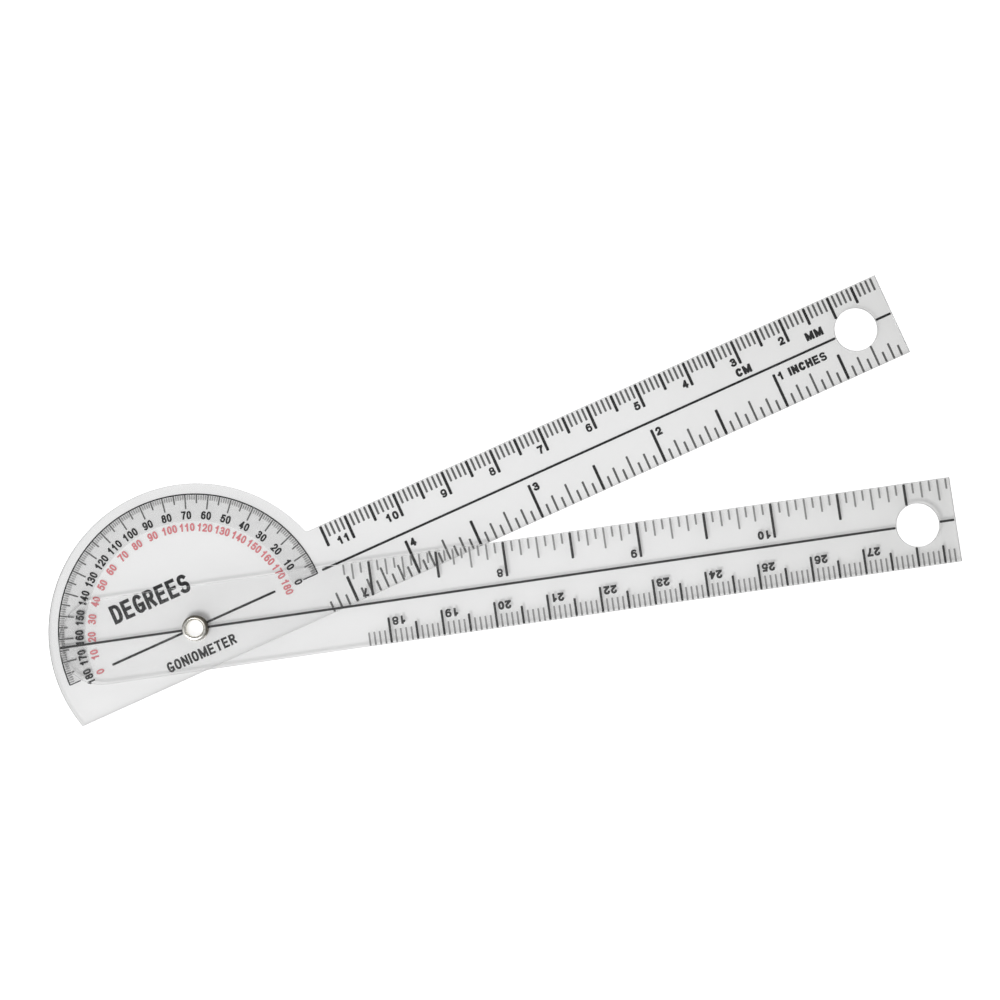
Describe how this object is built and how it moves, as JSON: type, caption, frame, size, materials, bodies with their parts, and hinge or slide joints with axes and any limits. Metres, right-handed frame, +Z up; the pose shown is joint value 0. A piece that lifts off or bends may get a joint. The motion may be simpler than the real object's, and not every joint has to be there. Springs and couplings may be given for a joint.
{
  "type": "goniometer",
  "caption": "Pocket goniometer: two flat clear plastic ruler arms turning on a hollow metal eyelet, one with a round head for a half-circle degree scale.",
  "frame": {"origin": "middle of the whole object's box, at its bottom, which is the surface it lies on", "axes": "+X along the protractor arm from the head to the tip, +Y towards the top of the head, +Z up out of the printed side; the pivot axis is at x = -0.0581 m, y = 0.0103 m"},
  "size_m": [0.1718, 0.075, 0.0036],
  "materials": {
    "protractor_plastic": "clear, glossy",
    "pointer_plastic": "clear, glossy",
    "nickel_plate": "bright nickel plate",
    "black_ink": "screen-printed ink",
    "grey_ink": "screen-printed ink",
    "red_ink": "screen-printed ink"
  },
  "bodies": {
    "protractor": {"protractor_arm": "protractor_plastic", "pivot_eyelet": "nickel_plate"},
    "pointer": {"pointer_arm": "pointer_plastic"}
  },
  "joints": [
    {"name": "arm_swing", "type": "hinge", "parent": "protractor", "child": "pointer", "pos_m": [-0.05814, 0.01031, 0.00225], "axis": [0, 0, 1], "continuous": true}
  ]
}
